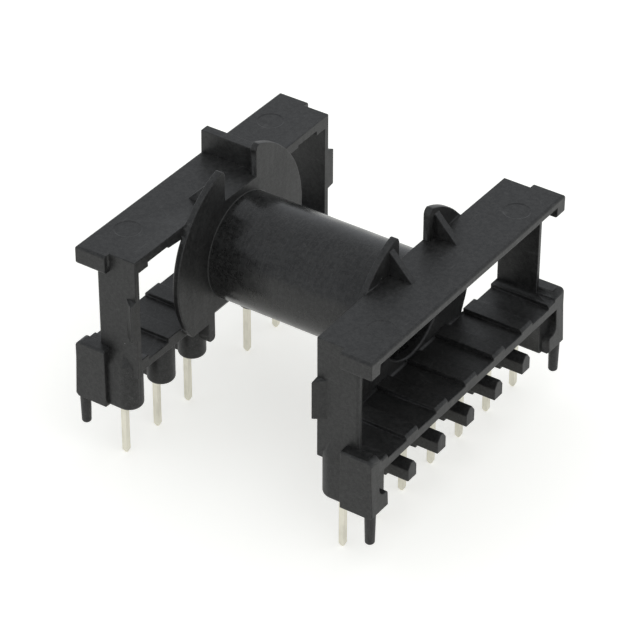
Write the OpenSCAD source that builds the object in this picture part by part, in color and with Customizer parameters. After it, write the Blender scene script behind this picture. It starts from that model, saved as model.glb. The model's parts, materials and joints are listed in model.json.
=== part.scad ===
// Horizontal coil former for an E core with a round centre pole: a winding tube between two discs,
// an end frame outside each disc that the core slides into, and two rows of pins for a circuit board.
// X runs along the winding tube, Z is up, and Z = 0 is at the tips of the pins.

/* [Core fit] */
// Diameter of the core's round centre pole, which is also the height of the core
pole_d = 9.8; // [9.2:0.1:10.2]
// Length of the core across its two outer legs
core_l = 30.6; // [30:0.1:31.4]
// Gap left round the core on each side
core_gap = 0.08; // [0.04:0.02:0.2]

/* [Winding tube] */
// Clear winding width between the two discs
winding_w = 19.1; // [17:0.1:20]
// Wall of the winding tube
tube_wall = 0.61; // [0.5:0.05:0.9]
// Chamfer at the mouths of the bore
mouth_chamfer = 0.15; // [0.05:0.05:0.4]

/* [Discs] */
// Radius of the discs
disc_r = 10.38; // [9.8:0.02:10.8]
// Thickness of the discs
disc_t = 0.7; // [0.6:0.05:1]
// Width of the lead slot between the two lugs at the top
slot_w = 5.1; // [4:0.1:5.6]
// Rounding of the lugs' corners beside the slot
lug_round = 0.7; // [0.2:0.1:1.2]
// Reach of the lugs' rounded corners past the discs' rim, where the rim cuts them off
lug_proud = 0.1; // [0.05:0.05:0.3]
// Height of the sloped notch at the foot of each disc, above the terrace's underside
notch_h = 0.95; // [0.4:0.05:1.2]
// Distance of the lug ribs from the middle
lug_rib_y = 3.85; // [3.4:0.05:5]
// Thickness of the lug ribs
lug_rib_t = 0.75; // [0.5:0.05:1]
// Height of the lug ribs above the top plate
lug_rib_h = 2.64; // [1.5:0.02:3.2]
// Length of the lug ribs along the top plate
lug_rib_l = 2.5; // [1.5:0.1:4]
// Height of the fin that runs across the top plate of the six-pin side
fin_h = 2.4; // [1.5:0.05:3]
// Thickness of the fin
fin_t = 1.05; // [0.6:0.05:1.2]

/* [Top plates] */
// Depth of the plates, outwards from the discs
plate_w = 6.43; // [5.8:0.01:7]
// Thickness of the plates
plate_t = 1; // [0.8:0.05:1.3]
// Thickness of the pads beside the posts, which meet the core
pad_t = 0.47; // [0.2:0.01:0.8]
// Length of the pads beside the posts
end_pad_l = 2.1; // [1.5:0.1:3]
// Half length of the pad behind the disc
mid_pad_l = 10.75; // [9.5:0.05:12]
// Depth of the pad behind the disc
mid_pad_w = 1.2; // [0.8:0.1:2]
// Thickness of the pad behind the disc
mid_pad_t = 0.22; // [0.1:0.02:0.4]
// Rounding of the plates' edges
plate_round = 0.3; // [0.1:0.05:0.35]
// Distance from the disc to the lips at the plates' ends
lip_start = 2.96; // [2:0.02:4]
// Reach of the lips past the posts
lip_reach = 0.76; // [0.4:0.02:1]
// Height of the lips, down from the top
lip_h = 1.99; // [1.6:0.01:2.6]
// Radius of the four shallow round marks in the plates' tops
mark_r = 1.4; // [1:0.05:1.6]
// Depth of the round marks
mark_d = 0.05; // [0.02:0.01:0.1]
// Width of the round marks' sloped edge
mark_edge = 0.15; // [0.1:0.05:0.3]
// Distance of the round marks from the discs
mark_out = 4.05; // [3.4:0.05:4.6]
// Distance of the round marks from the middle
mark_y = 11.7; // [10.5:0.05:12.5]

/* [Posts] */
// Width of the posts, outwards from the discs
post_w = 4.55; // [3.6:0.05:5]
// Thickness of the posts
post_t = 0.65; // [0.5:0.05:1]
// Rounding of the posts' outer edge
post_round = 0.3; // [0.1:0.05:0.4]
// Drop of the posts below the terrace's underside
post_drop = 0.6; // [0.2:0.1:1]
// Reach of the catch nubs on the posts
nub_reach = 0.9; // [0.5:0.05:1.2]
// Length of the catch nubs along the posts
nub_l = 1.15; // [0.8:0.05:2]
// Height of the catch nubs where they leave the posts
nub_h = 4.45; // [3.5:0.05:6]
// Drop of the catch nubs' middle below the tube's axis
nub_drop = 0.15; // [0:0.05:0.5]
// Slope at each end of the catch nubs
nub_slope = 0.15; // [0.05:0.05:1]

/* [Wire terraces] */
// Depth of the terraces, outwards from the discs
terrace_w = 6.71; // [6.2:0.01:7.4]
// Thickness of the terraces under their channels
terrace_t = 0.88; // [0.7:0.02:1.2]
// Depth of the wire channels
channel_d = 0.48; // [0.2:0.02:0.7]
// Width of the ridges between the channels
ridge_w = 2; // [1.6:0.05:3]
// Chamfer in the corner at the inner end of the channels, where the disc stands up
channel_chamfer = 0.18; // [0.1:0.02:0.3]
// Chamfer at the outer end of the ridges
ridge_chamfer = 0.25; // [0.1:0.05:0.4]

/* [Pins] */
// Distance between neighbouring pins of a row
pitch = 5.08; // [5:0.01:5.1]
// Distance between the two rows
row_gap = 25.4; // [25:0.1:26]
// Places in a row
places = 7; // [5:2:7]
// Place of the left row that has no pin
key_place = 4; // [3:1:5]
// Width across the square pins
pin_s = 0.6; // [0.5:0.05:0.8]
// Length of the pins below the feet
pin_out = 6.1; // [4:0.1:8]
// Length of the pins inside the bosses
pin_in = 3.6; // [2.5:0.1:4]
// Length of the pins' tapered tips
pin_tip = 0.35; // [0.1:0.05:0.8]
// Width of the flat end of the tips
pin_tip_s = 0.3; // [0.2:0.05:0.4]
// Gap round the pins in their bosses
pin_gap = 0; // [0:0.01:0.05]

/* [Bosses and pegs] */
// Height of the tube's axis above the feet
axis_h = 10.94; // [10.8:0.02:11.6]
// Radius of the pin bosses
boss_r = 1.42; // [1.2:0.02:1.7]
// Height over which the end bosses run out into the posts
boss_shoulder = 1.6; // [0.8:0.1:2.4]
// Rounding of the bosses' lower edge
boss_round = 0.4; // [0.1:0.05:0.4]
// Distance from the pins to the bosses' axes, inwards
boss_shift = 0.63; // [0.1:0.01:0.65]
// Thickness of the ribs beside the bosses
rib_t = 1.06; // [0.8:0.02:1.3]
// Distance from the pins to the ribs' outer end
rib_reach = 1.75; // [1.3:0.05:2.4]
// Height of the inner ribs' lower edge above the feet
inner_rib_z = 2.35; // [1.5:0.05:4]
// Rounding of the inner ribs' lower edges
inner_rib_round = 0.4; // [0.1:0.05:0.5]
// Width of the wire pegs
peg_w = 1.44; // [1:0.02:1.8]
// Height of the wire pegs' underside above the feet
peg_z = 0.52; // [0.2:0.02:1]
// Height of the wire pegs' upright sides
peg_side = 1.28; // [0.8:0.02:1.6]
// Height of the wire pegs' sloped roof
peg_roof = 0.65; // [0.3:0.05:1]
// Width of the flat on the wire pegs' roof
peg_flat = 0.5; // [0.2:0.05:0.8]
// Reach of the wire pegs past the terrace
peg_reach = 0.08; // [0:0.02:1]

/* [End blocks] */
// Length of the end blocks, inwards from the terrace's edge
block_l = 3.44; // [2.6:0.02:4]
// Reach of the end blocks past the posts
block_reach = 1.07; // [0.6:0.01:1.5]
// Thickness of the end blocks' upright wall
block_t = 1.37; // [1.1:0.01:1.6]
// Height of the end blocks above the ridges
block_rise = 0.6; // [0.4:0.05:1.5]
// Rounding along the outer top edge of the end blocks
block_round = 0.25; // [0.1:0.05:0.5]
// Height of the end blocks' foot
foot_h = 1.9; // [1:0.1:2.6]
// Width of the end blocks' foot
foot_w = 2.7; // [2.4:0.02:2.8]
// Rounding of the foot's inner upper edge
foot_round = 0.3; // [0.1:0.05:0.4]
// Rounding in the corner between the foot and the upright wall
foot_cove = 0.8; // [0.4:0.05:0.9]
// Rounding of the end blocks' outer end at the top
end_round = 0.6; // [0.3:0.05:0.8]
// Flare of the end blocks' outer end below the terrace
end_flare = 0.2; // [0.1:0.05:0.3]
// Chamfer under the end blocks' outer end
end_chamfer = 0.3; // [0.2:0.05:0.35]
// Distance from the end wall, which is as wide as a boss, to the terrace's edge
end_wall_inset = 0.68; // [0.3:0.01:1.2]
// Radius of the locating studs at their root
stud_r = 0.55; // [0.45:0.01:0.6]
// Taper of the locating studs' radius
stud_taper = 0.07; // [0.02:0.01:0.15]
// Length of the locating studs
stud_l = 3.3; // [2:0.05:4]
// Chamfer at the tip of the locating studs
stud_chamfer = 0.2; // [0.05:0.05:0.25]
// Distance of the studs' axes from the end blocks' outer faces
stud_inset = 0.65; // [0.65:0.01:0.9]

/* [Hidden] */
$fn = 64;

// Overlap of shapes that grow out of one another, and reach of cutters past a face
join = 0.2;

// Core space
core_half = pole_d / 2 + core_gap;
bore_r = core_half;
tube_r = bore_r + tube_wall;

// Heights
feet_z = pin_out;
axis_z = feet_z + axis_h;
ridge_z = axis_z - core_half;
channel_z = ridge_z - channel_d;
terrace_z = channel_z - terrace_t;
boss_z = terrace_z + join;
pad_z = axis_z + core_half;
plate_z = pad_z + pad_t;
plate_mid = plate_z + plate_t / 2;
top_z = plate_z + plate_t;
lug_z = axis_z + disc_r;
notch_z = terrace_z + notch_h;
block_z = ridge_z + block_rise;

// Places along X, from the middle outwards
disc_x = winding_w / 2;
frame_x = disc_x + disc_t;
plate_x = frame_x + plate_w;
post_x = frame_x + post_w;
terrace_x = frame_x + terrace_w;
block_x = terrace_x - block_l;
pin_x = row_gap / 2;
boss_x = pin_x - boss_shift;
rib_x = pin_x + rib_reach;

// Places along Y, from the middle outwards
post_in = core_l / 2 + core_gap;
post_out = post_in + post_t;
lip_y = post_out + lip_reach;
block_y = post_out + block_reach;
row_end = pitch * (places - 1) / 2;
wall_y = block_y - block_t;
foot_y = block_y - foot_w;
// Half the width of the notches, which reach to the inner ribs
notch_y = pitch - rib_t / 2;

// Half the width of the discs at a height
function disc_half(z) = sqrt(disc_r * disc_r - (z - axis_z) * (z - axis_z));

// Pin places, as X and Y
function place_y(i) = (i - 1) * pitch - row_end;
right_row = [for (i = [1 : places]) place_y(i)];
left_row = [for (i = [1 : places]) if (i != key_place) place_y(i)];
pin_places = concat([for (y = right_row) [pin_x, y]], [for (y = left_row) [-pin_x, y]]);

// Prism along X of a profile drawn with Y across and Z up
module along_x(x0, x1) {
    translate([x0, 0, 0]) rotate([90, 0, 90]) linear_extrude(x1 - x0) children();
}

// Prism along Y of a profile drawn with X across and Z up
module along_y(y0, y1) {
    translate([0, y1, 0]) rotate([90, 0, 0]) linear_extrude(y1 - y0) children();
}

// Upright prism of a plan
module upright(z0, z1) {
    translate([0, 0, z0]) linear_extrude(z1 - z0) children();
}

// Rectangle between two corners
module rect(a, b) {
    translate(a) square(b - a);
}

// Rectangle between two corners, with its two right corners round
module round_outer(a, b, r) {
    rect(a, b - [r, 0]);
    rect(a + [0, r], b - [0, r]);
    for (y = [a.y + r, b.y - r]) translate([b.x - r, y]) circle(r);
}

// Rectangle between two corners, with its upper right corner round
module round_corner(a, b, r) {
    rect(a, b - [r, 0]);
    rect(a, b - [0, r]);
    translate(b - [r, r]) circle(r);
}

// Fillet in the corner at a point, to its upper right
module corner_fillet(p, r) {
    difference() {
        rect(p - [join, join], p + [r, r]);
        translate(p + [r, r]) circle(r);
    }
}

// Both sides of the middle plane
module both_ends() {
    children();
    mirror([0, 1, 0]) children();
}

// Winding tube
module winding_tube() {
    translate([0, 0, axis_z]) rotate([0, 90, 0]) cylinder(r = tube_r, h = 2 * frame_x, center = true);
}

// Bore for the core's centre pole, with a chamfer at each mouth
module core_bore() {
    translate([0, 0, axis_z]) rotate([0, 90, 0]) {
        cylinder(r = bore_r, h = 2 * frame_x + 2 * join, center = true);
        for (end = [0, 1]) mirror([0, 0, end]) translate([0, 0, frame_x - mouth_chamfer])
            cylinder(r1 = bore_r, r2 = bore_r + mouth_chamfer + join, h = mouth_chamfer + join);
    }
}

// What is cut from a lug's corner beside the slot, so that an arc leads from the slot to the disc's rim
module lug_corner() {
    y = slot_w / 2 + lug_round;
    d = disc_r - lug_round + lug_proud;
    z = axis_z + sqrt(d * d - y * y);
    far = 1 + 2 * lug_round / d;
    difference() {
        polygon([[y, z], [0, z], [0, lug_z + join], [y * far, axis_z + (z - axis_z) * far]]);
        translate([y, z]) circle(lug_round);
    }
}

// Disc, cut level with the terrace, with the lead slot between its two lugs
module disc_plate() {
    along_x(disc_x, frame_x) difference() {
        intersection() {
            translate([0, axis_z]) circle(disc_r, $fn = 128);
            rect([-disc_r, terrace_z], [disc_r, lug_z]);
        }
        rect([-slot_w / 2, top_z], [slot_w / 2, lug_z + join]);
        lug_corner();
        mirror([1, 0]) lug_corner();
    }
}

// Disc with the sloped notch at its foot, between the inner ribs
module disc() {
    difference() {
        disc_plate();
        along_y(-notch_y, notch_y) polygon([
            [disc_x - join, terrace_z - join],
            [frame_x, terrace_z - join],
            [frame_x, terrace_z],
            [disc_x, notch_z],
            [disc_x - join, notch_z]
        ]);
    }
}

// Three-cornered rib behind a lug
module lug_rib() {
    foot_z = top_z - join;
    along_y(lug_rib_y - lug_rib_t / 2, lug_rib_y + lug_rib_t / 2) polygon([
        [frame_x - join, foot_z],
        [frame_x + lug_rib_l, foot_z],
        [frame_x + lug_rib_l, top_z],
        [frame_x, top_z + lug_rib_h],
        [frame_x - join, top_z + lug_rib_h]
    ]);
}

// Fin across the whole plate, in line with the other lug's rib
module fin() {
    along_y(lug_rib_y - fin_t / 2, lug_rib_y + fin_t / 2)
        rect([frame_x - join, plate_mid], [plate_x, top_z + fin_h]);
}

// Top plate with its lips and the pads on its underside
module top_plate() {
    disc_y = disc_half(top_z) - join;
    difference() {
        along_y(-post_out, post_out) round_outer([frame_x, plate_z], [plate_x, top_z], plate_round);
        both_ends() mark();
    }
    // Joint inside the disc
    along_y(-disc_y, disc_y) rect([frame_x - join, plate_z], [frame_x + join, top_z]);
    along_y(-mid_pad_l, mid_pad_l)
        rect([frame_x, plate_z - mid_pad_t], [frame_x + mid_pad_w, plate_mid]);
    both_ends() {
        along_y(post_out - end_pad_l, post_out) rect([frame_x, pad_z], [post_x, plate_mid]);
        lip();
    }
}

// Shallow round mark in a plate's top, as a cutter
module mark() {
    translate([frame_x + mark_out, mark_y, top_z - mark_d])
        cylinder(r1 = mark_r - mark_edge, r2 = mark_r + mark_edge, h = 2 * mark_d);
}

// Lip at the end of a plate, round at its outer edges
module lip() {
    lip_z = top_z - lip_h;
    intersection() {
        along_x(frame_x + lip_start, plate_x) round_outer([post_in, lip_z], [lip_y, top_z], plate_round);
        along_y(post_in, lip_y) round_outer([frame_x, lip_z], [plate_x, top_z], plate_round);
    }
}

// Post at the end of a frame, with its catch nub
module post() {
    upright(terrace_z - post_drop, plate_z + join) {
        rect([frame_x, post_in], [post_x - post_round, post_out]);
        rect([frame_x, post_in], [post_x, post_out - post_round]);
        translate([post_x - post_round, post_out - post_round]) circle(post_round);
    }
    nub();
}

// Catch nub: a wedge in plan whose ends slope in side view
module nub() {
    middle = axis_z - nub_drop;
    half = nub_h / 2;
    slope = half - nub_slope;
    tip = post_out + nub_reach;
    root = post_out - join;
    intersection() {
        upright(middle - half, middle + half) polygon([
            [frame_x, root],
            [frame_x + nub_l, root],
            [frame_x + nub_l, post_out],
            [frame_x, tip]
        ]);
        along_x(frame_x, frame_x + nub_l) polygon([
            [root, middle - half],
            [post_out, middle - half],
            [tip, middle - slope],
            [tip, middle + slope],
            [post_out, middle + half],
            [root, middle + half]
        ]);
    }
}

// Wire terrace: a floor with a ridge at each pin place
module terrace() {
    along_y(-post_out, post_out) rect([frame_x, terrace_z], [terrace_x, channel_z]);
    // Joint inside the disc on both sides of the notch
    both_ends() along_y(notch_y, disc_half(terrace_z) - join)
        rect([frame_x - join, terrace_z], [frame_x + join, channel_z]);
    // Corner along the disc's foot, which ends inside the second ridge on each side
    along_y(-2 * pitch, 2 * pitch) polygon([
        [frame_x, terrace_z + join],
        [frame_x + channel_chamfer, terrace_z + join],
        [frame_x + channel_chamfer, channel_z],
        [frame_x, channel_z + channel_chamfer]
    ]);
    for (y = right_row) ridge(max(y - ridge_w / 2, -post_out), min(y + ridge_w / 2, post_out));
}

// Ridge between two channels, chamfered at its outer end
module ridge(y0, y1) {
    along_y(y0, y1) polygon([
        [frame_x, terrace_z],
        [terrace_x, terrace_z],
        [terrace_x, ridge_z - ridge_chamfer],
        [terrace_x - ridge_chamfer, ridge_z],
        [frame_x, ridge_z]
    ]);
}

// Pin boss with a round lower edge, and the rib that runs outwards from it
module boss(y) {
    top = boss_z - feet_z;
    translate([boss_x, y, feet_z]) rotate_extrude() {
        rect([0, 0], [boss_r - boss_round, top]);
        rect([0, boss_round], [boss_r, top]);
        translate([boss_r - boss_round, boss_round]) circle(boss_round);
    }
    upright(feet_z, boss_z) rect([boss_x, y - rib_t / 2], [rib_x, y + rib_t / 2]);
}

// Sloped shoulder of an end boss and its end wall, outside the core's space
module shoulder() {
    side_y = row_end + boss_r;
    top = boss_z + boss_shoulder;
    intersection() {
        translate([boss_x, row_end, boss_z])
            cylinder(r1 = boss_r, r2 = post_out - row_end, h = boss_shoulder);
        upright(boss_z, top) rect([frame_x, post_in], [post_x, side_y]);
    }
    along_x(boss_x, block_x + join) polygon([
        [post_in, boss_z],
        [side_y, boss_z],
        [post_out, top],
        [post_in, top]
    ]);
}

// Wire peg in front of a boss
module wire_peg(y) {
    z = feet_z + peg_z;
    half = peg_w / 2;
    along_x(rib_x - join, terrace_x + peg_reach) translate([y, z]) polygon([
        [-half, 0],
        [half, 0],
        [half, peg_side],
        [peg_flat / 2, peg_side + peg_roof],
        [-peg_flat / 2, peg_side + peg_roof],
        [-half, peg_side]
    ]);
}

// Wall up to the terrace, seen from its end, with a round lower edge on each side
module wall_profile(y, t, z, r) {
    half = t / 2 - r;
    rect([y - t / 2, z + r], [y + t / 2, boss_z]);
    rect([y - half, z], [y + half, boss_z]);
    for (side = [-half, half]) translate([y + side, z + r]) circle(r);
}

// Rib from a boss inwards to the disc, beside the notch
module inner_rib(y) {
    along_x(disc_x, boss_x) wall_profile(y, rib_t, feet_z + inner_rib_z, inner_rib_round);
}

// End wall that runs outwards from the last boss of a row
module end_wall() {
    along_x(boss_x, terrace_x - end_wall_inset) wall_profile(row_end, 2 * boss_r, feet_z, boss_round);
}

// End block with its foot
module end_block() {
    end_x = terrace_x + end_flare;
    intersection() {
        along_x(block_x, end_x) block_profile();
        along_y(foot_y, block_y) {
            round_corner([block_x, terrace_z], [terrace_x, block_z], end_round);
            polygon([
                [block_x, feet_z],
                [end_x - end_chamfer, feet_z],
                [end_x, feet_z + end_chamfer],
                [terrace_x, terrace_z],
                [terrace_x, channel_z],
                [block_x, channel_z]
            ]);
        }
    }
}

// End block seen from its outer end, with a hollow corner above the last ridge, outside the core's space
module block_profile() {
    foot_z = feet_z + foot_h;
    hollow_r = wall_y - post_in;
    hollow_z = ridge_z + hollow_r;
    round_corner([wall_y, feet_z], [block_y, block_z], block_round);
    mirror([1, 0]) round_corner([-block_y, feet_z], [-foot_y, foot_z], foot_round);
    translate([wall_y, foot_z]) mirror([1, 0]) corner_fillet([0, 0], foot_cove);
    difference() {
        rect([post_in, terrace_z], [wall_y + join, hollow_z]);
        translate([post_in, hollow_z]) circle(hollow_r);
    }
}

// Locating stud
module stud() {
    tip_r = stud_r - stud_taper;
    translate([terrace_x + end_flare - stud_inset, block_y - stud_inset, feet_z - stud_l])
        rotate_extrude() polygon([
            [0, 0],
            [tip_r - stud_chamfer, 0],
            [tip_r, stud_chamfer],
            [stud_r, stud_l],
            [stud_r, stud_l + 2 * join],
            [0, stud_l + 2 * join]
        ]);
}

// One end of the former, outside the winding space
module flange(row) {
    disc();
    mirror([0, 1, 0]) lug_rib();
    top_plate();
    terrace();
    both_ends() {
        post();
        shoulder();
        end_wall();
        end_block();
        stud();
    }
    for (y = row) boss(y);
    for (y = row) if (abs(y) < row_end - pitch / 2) wire_peg(y);
    for (y = row) if (abs(abs(y) - pitch) < pitch / 2) inner_rib(y);
}

// Square pin with a tapered tip, standing on its tip at the origin, as wide as the gap asks
module pin_bar(gap, z1) {
    half = pin_s / 2 + gap;
    intersection() {
        along_x(-half, half) pin_side(half, z1);
        along_y(-half, half) pin_side(half, z1);
    }
}

// Side view of a pin
module pin_side(half, z1) {
    tip = pin_tip_s / 2;
    polygon([[-tip, 0], [tip, 0], [half, pin_tip], [half, z1], [-half, z1], [-half, pin_tip]]);
}

// The moulding
module coil_former() {
    color("#2b2b2e") difference() {
        union() {
            winding_tube();
            flange(right_row);
            lug_rib();
            mirror([1, 0, 0]) {
                flange(left_row);
                fin();
            }
        }
        core_bore();
        for (p = pin_places) translate([p.x, p.y, 0]) pin_bar(pin_gap, feet_z + pin_in);
    }
}

// One terminal pin
module pin(p) {
    color("#d7d5cd") translate([p.x, p.y, 0]) pin_bar(0, feet_z + pin_in);
}

coil_former();
for (i = [1 : len(pin_places)]) pin(pin_places[i - 1]);
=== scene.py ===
"""Finishes, studio and camera for a moulded transformer bobbin with tinned board pins.

Lengths are metres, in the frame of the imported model: X along the winding tube, Z up,
pin tips at Z = 0.
"""
import json
import math
from functools import reduce

import bpy
from mathutils import Matrix, Vector


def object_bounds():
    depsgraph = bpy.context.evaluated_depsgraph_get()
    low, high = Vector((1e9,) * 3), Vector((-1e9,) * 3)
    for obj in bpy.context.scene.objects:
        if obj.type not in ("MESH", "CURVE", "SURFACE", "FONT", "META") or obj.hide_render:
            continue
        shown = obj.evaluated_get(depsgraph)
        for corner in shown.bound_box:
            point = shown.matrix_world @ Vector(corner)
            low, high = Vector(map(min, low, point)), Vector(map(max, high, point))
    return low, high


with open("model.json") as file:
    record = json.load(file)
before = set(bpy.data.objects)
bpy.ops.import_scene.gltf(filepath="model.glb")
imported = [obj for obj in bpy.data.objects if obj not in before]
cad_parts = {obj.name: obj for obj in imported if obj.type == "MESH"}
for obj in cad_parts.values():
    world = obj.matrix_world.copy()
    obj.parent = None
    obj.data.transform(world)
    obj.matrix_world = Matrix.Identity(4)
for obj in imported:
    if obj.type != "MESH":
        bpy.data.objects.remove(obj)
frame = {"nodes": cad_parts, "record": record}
cad_low, cad_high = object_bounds()

MM = 0.001

# Camera, as it stood for the photograph, with its angles in degrees
IMAGE_SIDE = 640
SENSOR_W = 36.0
LENS = 178.8
AZIMUTH = 34.19
ELEVATION = 35.415
ROLL = 0.2
CAMERA_PLACE = Vector((140.67, -207.45, 190.02)) * MM
CLIP_START = 0.01
CLIP_END = 20
# The photograph's middle lies half a pixel to the right of and below the frame's own
HALF_PIXEL = 0.5 / IMAGE_SIDE

# Soft edges: the widest is on the rims of the discs, and inner corners stay sharp
SHARP_ANGLE = math.radians(32)
FLAT_ANGLE = math.radians(1)
RIM_EDGE = 0.16 * MM
MOULDED_EDGE = 0.08 * MM
PIN_EDGE = 0.04 * MM
EDGE_STEPS = 3
WELD = 0.002 * MM
RIM_R = 10.38 * MM
RIM_OUTSIDE = 10.26 * MM
RIM_MARGIN = 0.04 * MM
# Distances to the side of the axis between which the rims' extra width grows
RIM_START = 5.0 * MM
RIM_FULL = 6.5 * MM
# Where small faces crowd at the end blocks' tops, edges within this reach stay sharp
CROWDED_X = 16.5 * MM
CROWDED_Y = 15.6 * MM
CROWDED_Z = 12.1 * MM
CROWDED_REACH = 0.9 * MM

# Round marks in the plates' tops, whose sloped edges stay crisp
MARK_X = 14.3 * MM
MARK_Y = 11.7 * MM
MARK_REACH = 1.7 * MM
MARK_LOW = 23.4 * MM
MARK_ANGLE = math.radians(10)

# Winding tube, on the axis of the record's bore mount
BORE = next(m for m in frame["record"]["mounts"] if m["name"] == "core_bore")
AXIS_Z = BORE["pos_m"][2]
TUBE_HALF = 9.4 * MM
TUBE_R = 5.59 * MM
TUBE_SKIN = 6.0 * MM
# Width of the painted highlight round the tube's root
ROOT_HIGHLIGHT_W = 0.07 * MM
DISC_FACE = 9.55 * MM

# Colours, linear
PLASTIC = (0.0050, 0.0050, 0.0048, 1)
PLASTIC_PALE = (0.0310, 0.0307, 0.0295, 1)
SPECKLE = (0.075, 0.075, 0.072, 1)
# Painted highlight: a pale ring round the tube's root, where it meets the discs
ROOT_HIGHLIGHT = (0.07, 0.07, 0.067, 1)
DUST = (0.22, 0.22, 0.21, 1)
TIN = (0.81, 0.785, 0.68, 1)
TIN_DULL = (0.71, 0.69, 0.595, 1)
WHITE = (1, 1, 1, 1)
SKY = (0.93, 0.96, 1, 1)
FLOOR = (0.8, 0.795, 0.765, 1)
FLOOR_GLOW = (1, 0.99, 0.95, 1)

# Ranges of a noise's value, from wide to narrow, and of a share
WIDE = (0.3, 0.7)
MIDDLE = (0.35, 0.65)
NARROW = (0.38, 0.62)
NOISE_MEAN = 0.5
RISING = (0.0, 1.0)
FALLING = (1.0, 0.0)

# Plastic: how large its marks are, and how they are drawn out along each axis
BLOTCH = 3.0 * MM
STREAK = 0.4 * MM
STREAK_STRETCH = (1, 1, 0.06)
GRAIN = 0.13 * MM
MOTTLE = 0.4 * MM
WAVE = 1.6 * MM
RING = 0.14 * MM
RING_STRETCH = (1, 0.08, 0.08)
DOT = 0.15 * MM
DUST_CELL = 1.7 * MM
DUST_SIZE = 0.085 * MM
DUST_SHARE = 0.2
SCRATCH_ALONG_Y = ((1, 0.12, 1), 1.3 * MM)
SCRATCH_ALONG_X = ((0.15, 1, 1), 1.1 * MM)
SCRATCH_PATCH = 1.7 * MM

# Plastic: how strongly they colour it
GRAIN_PALE = (0.0, 0.4)
MOTTLE_PALE = (0.0, 0.4)
BLOTCH_PALE = (0.0, 0.3)
STREAK_PALE = (0.5, 1.0)
RING_PALE = (-0.12, 0.12)
DOT_RANGE = (0.62, 0.78)
DOT_IN_WAVES = (0.3, 1.0)
DOT_ON_TUBE = (1.0, 0.35)
SCRATCH_LINE = (0.002, 0.007)
SCRATCH_HERE = (0.56, 0.66)
SCRATCH_SHARE = 0.3
# Heights from the axis between which the pale speckle of the terraces fades, and to what
DUSTY_HEIGHT = (-4.6 * MM, -3.8 * MM)
DOT_ABOVE = (1.0, 0.5)

# Plastic: gloss, and bumps as (distance, strength)
PLASTIC_IOR = 1.45
FRAME_ROUGH = (0.40, 0.48)
STREAK_ROUGH = (-0.03, 0.03)
TUBE_ROUGH = (0.19, 0.29)
PITS_ON_TUBE = (1.0, 0.5)
PIT_BUMP = (0.012 * MM, 0.7)
WAVE_BUMP = (0.04 * MM, 0.4)
STREAK_BUMP = (0.004 * MM, 0.3)

# Tinned wire
LINE = 0.06 * MM
LINE_STRETCH = (1, 1, 0.03)
LINE_BUMP = (0.01 * MM, 0.15)
PATCH = 0.9 * MM
PATCH_STRETCH = (1, 1, 0.4)
PATCH_RANGE = (0.4, 0.75)
TIN_ROUGH = (0.30, 0.42)

# Studio: strengths are for the eye, for gloss and for dull faces
FLOOR_HALF = 3.0
FLOOR_LIGHT = (0.5, 0.4, 0.0)
WORLD_LIGHT = (1.0, 0.79, 0.82)
OVERHEAD = (0.2, 0.65)
OVERHEAD_LIGHT = (1.0, 0.92)
KEY_PLACE = (0.3, -0.1, 0.6)
KEY_SIDE = 0.5
KEY_POWER = 0.4

# The Mix node's sockets share names, so they are told by number: two inputs and an output
MIX_SOCKETS = {"RGBA": (6, 7, 2), "FLOAT": (2, 3, 0)}


def set_inputs(tree, node, values):
    """Gives a node's inputs their values: links from other sockets, or constants."""
    for name, value in values.items():
        if isinstance(value, bpy.types.NodeSocket):
            tree.links.new(value, node.inputs[name])
        else:
            node.inputs[name].default_value = value


def add_node(tree, kind, inputs=None, **settings):
    """A node of a kind, with its settings and the values of its inputs."""
    node = tree.nodes.new(kind)
    for name, value in settings.items():
        setattr(node, name, value)
    set_inputs(tree, node, inputs or {})
    return node


def new_material(name):
    """A material with a Principled shader, as (material, tree, shader)."""
    material = bpy.data.materials.new(name)
    material.use_nodes = True
    tree = material.node_tree
    return material, tree, tree.nodes["Principled BSDF"]


def maths(tree, operation, *values):
    """The result of a Math node."""
    inputs = dict(enumerate(values))
    return add_node(tree, "ShaderNodeMath", inputs, operation=operation).outputs["Value"]


def total(tree, *values):
    """Values added together, one after another."""
    return reduce(lambda a, b: maths(tree, "ADD", a, b), values)


def product(tree, *values):
    """Values multiplied together, one after another."""
    return reduce(lambda a, b: maths(tree, "MULTIPLY", a, b), values)


def gap(tree, a, b):
    """How far apart two values are."""
    return maths(tree, "ABSOLUTE", maths(tree, "SUBTRACT", a, b))


def distance(tree, a, b):
    """The length of the line that goes two lengths at right angles."""
    return maths(tree, "SQRT", total(tree, product(tree, a, a), product(tree, b, b)))


def split(tree, vector):
    """The outputs X, Y and Z of a vector."""
    return add_node(tree, "ShaderNodeSeparateXYZ", {"Vector": vector}).outputs


def spread(tree, value, between, to=RISING):
    """A value taken smoothly from one range to another, and kept within it."""
    inputs = {
        "Value": value,
        "From Min": between[0], "From Max": between[1],
        "To Min": to[0], "To Max": to[1],
    }
    node = add_node(tree, "ShaderNodeMapRange", inputs, interpolation_type="SMOOTHSTEP")
    return node.outputs["Result"]


def mixed(tree, share, a, b, data_type="RGBA"):
    """Two colours, or two values, mixed by a share."""
    first, second, result = MIX_SOCKETS[data_type]
    inputs = {"Factor": share, first: a, second: b}
    return add_node(tree, "ShaderNodeMix", inputs, data_type=data_type).outputs[result]


def places(tree, stretch=(1, 1, 1)):
    """Object coordinates in metres, squeezed along each axis by a factor."""
    coordinates = add_node(tree, "ShaderNodeTexCoord").outputs["Object"]
    inputs = {"Vector": coordinates, "Scale": stretch}
    return add_node(tree, "ShaderNodeMapping", inputs).outputs["Vector"]


def noise(tree, vector, grain, detail=2.0, rough=0.5):
    """Noise whose features are about one grain across."""
    inputs = {"Vector": vector, "Scale": 1 / grain, "Detail": detail, "Roughness": rough}
    return add_node(tree, "ShaderNodeTexNoise", inputs).outputs["Fac"]


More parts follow.
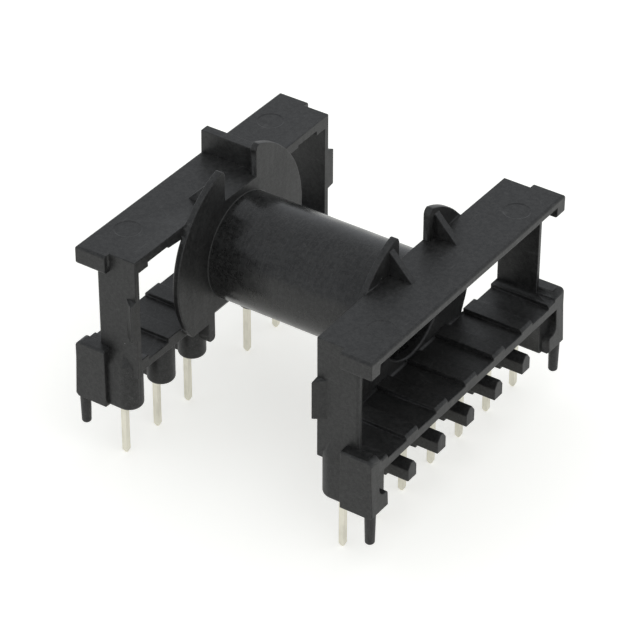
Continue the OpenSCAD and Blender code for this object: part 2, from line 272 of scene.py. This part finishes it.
def bump(tree, height, depth, strength, under=None):
    """A bump of a height, on top of another one."""
    inputs = {"Height": height, "Distance": depth, "Strength": strength}
    if under:
        inputs["Normal"] = under
    return add_node(tree, "ShaderNodeBump", inputs).outputs["Normal"]


def from_axis(tree):
    """Distance from the tube's axis, distance from the middle along it, and height above it."""
    axes = split(tree, add_node(tree, "ShaderNodeTexCoord").outputs["Object"])
    height = maths(tree, "SUBTRACT", axes["Z"], AXIS_Z)
    return distance(tree, axes["Y"], height), maths(tree, "ABSOLUTE", axes["X"]), height


def tube_share(tree, radius, along):
    """1 on the winding tube, between the discs, and 0 elsewhere."""
    near = maths(tree, "LESS_THAN", radius, TUBE_SKIN)
    return product(tree, near, maths(tree, "LESS_THAN", along, TUBE_HALF))


def painted_root_highlight(tree, radius, along):
    """1 on the thin painted highlight round the tube's root, on the insides of the discs."""
    ring = maths(tree, "COMPARE", radius, TUBE_R, ROOT_HIGHLIGHT_W)
    face = maths(tree, "COMPARE", along, DISC_FACE, ROOT_HIGHLIGHT_W)
    return product(tree, ring, face)


def specks(tree, cell, size, share):
    """Sparse round dots, from a share of the cells."""
    inputs = {"Vector": places(tree), "Scale": 1 / cell}
    cells = add_node(tree, "ShaderNodeTexVoronoi", inputs).outputs
    picked = add_node(tree, "ShaderNodeSeparateColor", {"Color": cells["Color"]})
    chosen = maths(tree, "LESS_THAN", picked.outputs["Red"], share)
    reach = size / cell
    return product(tree, chosen, spread(tree, cells["Distance"], (reach / 2, reach), FALLING))


def scratches(tree, stretch, length):
    """Thin faint lines in patches, which wander along the axis with the smallest stretch."""
    lines = noise(tree, places(tree, stretch), length, detail=1.0)
    line = spread(tree, gap(tree, lines, NOISE_MEAN), SCRATCH_LINE, FALLING)
    patches = noise(tree, places(tree), SCRATCH_PATCH, detail=1.0)
    return product(tree, line, spread(tree, patches, SCRATCH_HERE))


def moulded_plastic():
    """Charcoal moulded plastic: fine grain, flow streaks, scratches, a smoother tube and a
    painted highlight round the tube's root.
    """
    material, tree, shader = new_material("moulded_plastic")
    blotches = noise(tree, places(tree), BLOTCH, detail=3.0)
    streaks = noise(tree, places(tree, STREAK_STRETCH), STREAK)
    grain = noise(tree, places(tree), GRAIN, detail=4.0, rough=0.65)
    mottle = noise(tree, places(tree), MOTTLE, detail=3.0, rough=0.6)
    waves = noise(tree, places(tree), WAVE)
    rings = noise(tree, places(tree, RING_STRETCH), RING)
    scratch = maths(
        tree, "MAXIMUM",
        scratches(tree, *SCRATCH_ALONG_Y),
        scratches(tree, *SCRATCH_ALONG_X),
    )
    radius, along, height = from_axis(tree)
    tube = tube_share(tree, radius, along)

    flow = product(
        tree,
        spread(tree, blotches, WIDE, BLOTCH_PALE),
        spread(tree, streaks, WIDE, STREAK_PALE),
    )
    pale = total(
        tree,
        spread(tree, grain, NARROW, GRAIN_PALE),
        spread(tree, mottle, NARROW, MOTTLE_PALE),
        flow,
        product(tree, tube, spread(tree, rings, MIDDLE, RING_PALE)),
    )
    dots = product(
        tree,
        spread(tree, noise(tree, places(tree), DOT), DOT_RANGE),
        spread(tree, waves, MIDDLE, DOT_IN_WAVES),
        spread(tree, tube, RISING, DOT_ON_TUBE),
        spread(tree, height, DUSTY_HEIGHT, DOT_ABOVE),
    )
    marked = maths(tree, "MAXIMUM", dots, product(tree, scratch, SCRATCH_SHARE))
    colour = mixed(tree, pale, PLASTIC, PLASTIC_PALE)
    colour = mixed(tree, marked, colour, SPECKLE)
    colour = mixed(tree, specks(tree, DUST_CELL, DUST_SIZE, DUST_SHARE), colour, DUST)
    # Painted highlight: a pale ring round the tube's root, on the insides of the discs
    colour = mixed(tree, painted_root_highlight(tree, radius, along), colour, ROOT_HIGHLIGHT)

    frame_rough = total(
        tree,
        spread(tree, blotches, WIDE, FRAME_ROUGH),
        spread(tree, streaks, WIDE, STREAK_ROUGH),
    )
    tube_rough = spread(tree, waves, WIDE, TUBE_ROUGH)

    pits = product(tree, grain, spread(tree, tube, RISING, PITS_ON_TUBE))
    normal = bump(tree, pits, *PIT_BUMP)
    normal = bump(tree, waves, *WAVE_BUMP, under=normal)
    normal = bump(tree, streaks, *STREAK_BUMP, under=normal)
    set_inputs(tree, shader, {
        "Base Color": colour,
        "Roughness": mixed(tree, tube, frame_rough, tube_rough, "FLOAT"),
        "Normal": normal,
        "IOR": PLASTIC_IOR,
    })
    return material


def tinned_wire():
    """Dull bright tinned wire with fine drawing lines along its length."""
    material, tree, shader = new_material("tinned_wire")
    lines = noise(tree, places(tree, LINE_STRETCH), LINE, detail=3.0)
    patches = noise(tree, places(tree, PATCH_STRETCH), PATCH)
    set_inputs(tree, shader, {
        "Base Color": mixed(tree, spread(tree, patches, PATCH_RANGE), TIN, TIN_DULL),
        "Roughness": spread(tree, lines, WIDE, TIN_ROUGH),
        "Normal": bump(tree, lines, *LINE_BUMP),
        "Metallic": 1.0,
    })
    return material


def by_ray(tree, seen, mirrored, dull):
    """A strength for the camera's rays, one for gloss and glass, and one for the rest."""
    path = add_node(tree, "ShaderNodeLightPath").outputs
    gloss = maths(tree, "MAXIMUM", path["Is Glossy Ray"], path["Is Transmission Ray"])
    return total(
        tree,
        product(tree, path["Is Camera Ray"], seen - dull),
        product(tree, gloss, mirrored - dull),
        dull,
    )


def bevel_weight(group, axes, angle, share):
    """How much of the bevel each edge gets: rims all of it, other outer edges a share."""
    up = maths(group, "SUBTRACT", axes["Z"], AXIS_Z)
    out = maths(group, "ABSOLUTE", axes["X"])
    side = maths(group, "ABSOLUTE", axes["Y"])
    at_rim = maths(
        group, "LESS_THAN", gap(group, distance(group, side, up), RIM_R), RIM_MARGIN
    )
    at_disc = maths(group, "LESS_THAN", out, RIM_OUTSIDE)
    grown = maths(
        group, "DIVIDE", maths(group, "SUBTRACT", side, RIM_START), RIM_FULL - RIM_START
    )
    grown = maths(group, "MINIMUM", maths(group, "MAXIMUM", grown, 0.0), 1.0)
    rim = product(group, at_rim, at_disc, grown)
    outer = maths(group, "GREATER_THAN", angle, SHARP_ANGLE)
    aside = distance(group, gap(group, out, CROWDED_X), gap(group, side, CROWDED_Y))
    off = distance(group, aside, gap(group, axes["Z"], CROWDED_Z))
    clear = maths(group, "GREATER_THAN", off, CROWDED_REACH)
    return product(group, outer, total(group, share, product(group, rim, 1 - share)), clear)


def mark_edges(group, axes, angle):
    """1 on the sloped edges of the plates' round marks."""
    out = maths(group, "ABSOLUTE", axes["X"])
    side = maths(group, "ABSOLUTE", axes["Y"])
    aside = distance(group, gap(group, out, MARK_X), gap(group, side, MARK_Y))
    return product(
        group,
        maths(group, "LESS_THAN", aside, MARK_REACH),
        maths(group, "GREATER_THAN", axes["Z"], MARK_LOW),
        maths(group, "GREATER_THAN", angle, MARK_ANGLE),
    )


def edge_weights(width, rim_width):
    """A node group that gives edges their bevel weights and marks the crisp ones."""
    group = bpy.data.node_groups.new("edge_weights", "GeometryNodeTree")
    for in_out in ("INPUT", "OUTPUT"):
        group.interface.new_socket(
            "Geometry", in_out=in_out, socket_type="NodeSocketGeometry"
        )
    angles = add_node(group, "GeometryNodeInputMeshEdgeAngle").outputs
    axes = split(group, add_node(group, "GeometryNodeInputPosition").outputs["Position"])
    weight = bevel_weight(group, axes, angles["Signed Angle"], width / rim_width)
    inner = maths(group, "LESS_THAN", angles["Signed Angle"], -SHARP_ANGLE)
    mark = mark_edges(group, axes, angles["Unsigned Angle"])

    whole = add_node(group, "NodeGroupInput").outputs["Geometry"]
    smooth = add_node(
        group, "GeometryNodeSetShadeSmooth", {"Geometry": whole}, domain="FACE"
    )
    crisp = add_node(
        group, "GeometryNodeSetShadeSmooth",
        {
            "Geometry": smooth.outputs["Geometry"],
            "Selection": maths(group, "MAXIMUM", inner, mark),
            "Shade Smooth": False,
        },
        domain="EDGE",
    )
    store = add_node(
        group, "GeometryNodeStoreNamedAttribute",
        {
            "Geometry": crisp.outputs["Geometry"],
            "Name": "bevel_weight_edge",
            "Value": weight,
        },
        data_type="FLOAT", domain="EDGE",
    )
    add_node(group, "NodeGroupOutput", {"Geometry": store.outputs["Geometry"]})
    return group


def soften(node, width, rim_width):
    """Rounds the outer edges of a CAD node's mesh with modifiers."""
    weld = node.modifiers.new("weld", "WELD")
    weld.merge_threshold = WELD
    flat = node.modifiers.new("flat_faces", "DECIMATE")
    flat.decimate_type = "DISSOLVE"
    flat.angle_limit = FLAT_ANGLE
    weights = node.modifiers.new("edge_weights", "NODES")
    weights.node_group = edge_weights(width, rim_width)
    edge = node.modifiers.new("soft_edges", "BEVEL")
    edge.limit_method = "WEIGHT"
    edge.width = rim_width
    edge.segments = EDGE_STEPS
    edge.use_clamp_overlap = False
    clean = node.modifiers.new("clean", "WELD")
    clean.merge_threshold = WELD
    shading = node.modifiers.new("even_shading", "WEIGHTED_NORMAL")
    shading.keep_sharp = True


def dress(node, material, width, rim_width):
    """Gives a CAD node its finish and its soft edges."""
    node.data.materials.clear()
    node.data.materials.append(material)
    soften(node, width, rim_width)


def add_floor():
    """Pale floor that stays white to the eye and keeps a soft shadow."""
    side = FLOOR_HALF
    corners = [(-side, -side, 0), (side, -side, 0), (side, side, 0), (-side, side, 0)]
    mesh = bpy.data.meshes.new("floor")
    mesh.from_pydata(corners, [], [(0, 1, 2, 3)])
    floor = bpy.data.objects.new("floor", mesh)
    bpy.context.scene.collection.objects.link(floor)
    material, tree, shader = new_material("floor")
    set_inputs(tree, shader, {
        "Base Color": FLOOR,
        "Roughness": 1.0,
        "Specular IOR Level": 0.0,
        "Emission Color": FLOOR_GLOW,
        "Emission Strength": by_ray(tree, *FLOOR_LIGHT),
    })
    mesh.materials.append(material)


def light_world():
    """Surroundings that look plain white, and whose bluish light is weaker overhead."""
    world = bpy.data.worlds.new("studio")
    bpy.context.scene.world = world
    world.use_nodes = True
    tree = world.node_tree
    axes = split(tree, add_node(tree, "ShaderNodeTexCoord").outputs["Generated"])
    seen = add_node(tree, "ShaderNodeLightPath").outputs["Is Camera Ray"]
    overhead = spread(tree, axes["Z"], OVERHEAD, OVERHEAD_LIGHT)
    light = product(tree, overhead, by_ray(tree, *WORLD_LIGHT))
    set_inputs(tree, tree.nodes["Background"], {
        "Color": mixed(tree, seen, SKY, WHITE),
        "Strength": maths(tree, "MAXIMUM", light, seen),
    })


def add_softbox(name, place, side, power):
    """A square lamp that looks at the middle of the object."""
    lamp = bpy.data.lights.new(name, "AREA")
    lamp.size = side
    lamp.energy = power
    box = bpy.data.objects.new(name, lamp)
    aim = (cad_low + cad_high) / 2
    box.location = place
    box.rotation_euler = (aim - Vector(place)).to_track_quat("-Z", "Y").to_euler()
    bpy.context.scene.collection.objects.link(box)


def add_camera():
    """The camera at the photograph's place."""
    a, e, r = (math.radians(angle) for angle in (AZIMUTH, ELEVATION, ROLL))
    right = Vector((math.cos(a), math.sin(a), 0))
    back = Vector((math.sin(a) * math.cos(e), -math.cos(a) * math.cos(e), math.sin(e)))
    up = back.cross(right)
    across = right * math.cos(r) + up * math.sin(r)
    upright = up * math.cos(r) - right * math.sin(r)
    data = bpy.data.cameras.new("camera")
    data.sensor_width = SENSOR_W
    data.lens = LENS
    data.shift_x = -HALF_PIXEL
    data.shift_y = HALF_PIXEL
    data.clip_start = CLIP_START
    data.clip_end = CLIP_END
    camera = bpy.data.objects.new("camera", data)
    turn = Matrix((across, upright, back)).transposed().to_4x4()
    camera.matrix_world = Matrix.Translation(CAMERA_PLACE) @ turn
    bpy.context.scene.collection.objects.link(camera)
    bpy.context.scene.camera = camera


bpy.context.scene.view_settings.view_transform = "Standard"
plastic = moulded_plastic()
tin = tinned_wire()
for name, node in frame["nodes"].items():
    if name.startswith("pin_"):
        dress(node, tin, PIN_EDGE, PIN_EDGE)
    else:
        dress(node, plastic, MOULDED_EDGE, RIM_EDGE)
add_floor()
light_world()
add_softbox("key", KEY_PLACE, KEY_SIDE, KEY_POWER)
add_camera()
